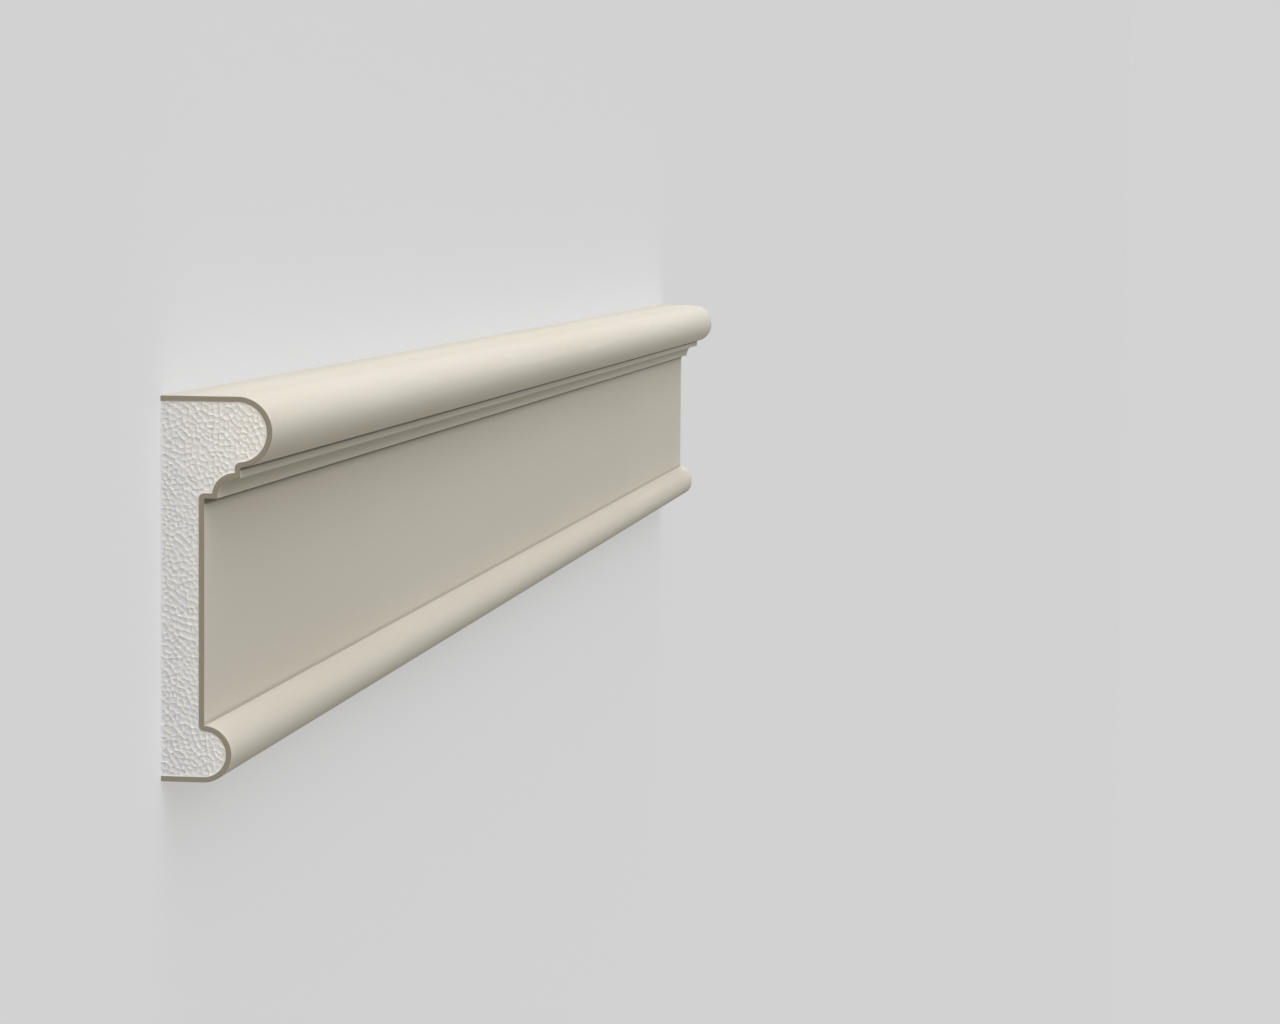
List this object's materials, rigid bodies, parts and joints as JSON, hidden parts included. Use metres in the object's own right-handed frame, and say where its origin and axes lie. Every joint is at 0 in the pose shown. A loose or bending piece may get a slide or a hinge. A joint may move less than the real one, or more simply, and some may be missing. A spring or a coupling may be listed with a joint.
{
  "type": "coated foam moulding",
  "caption": "Straight facade moulding with a crown bead, cove, flat frieze and base bead, of foam with a mineral coating, one end square and the other mitred for an inside corner.",
  "frame": {"origin": "on the flat back, in the middle of the length along the back and of the height", "axes": "+X along the wall from the square end to the mitred end, +Y towards the crown bead, which is up on a wall, +Z out of the wall from the back to the face"},
  "size_m": [2, 0.2, 0.0588],
  "materials": {
    "foam": "bare expanded bead foam, sawn",
    "coating": "fine mineral coating, matt cream"
  },
  "bodies": {
    "root": {"foam_core": "foam", "coating": "coating"}
  },
  "joints": []
}
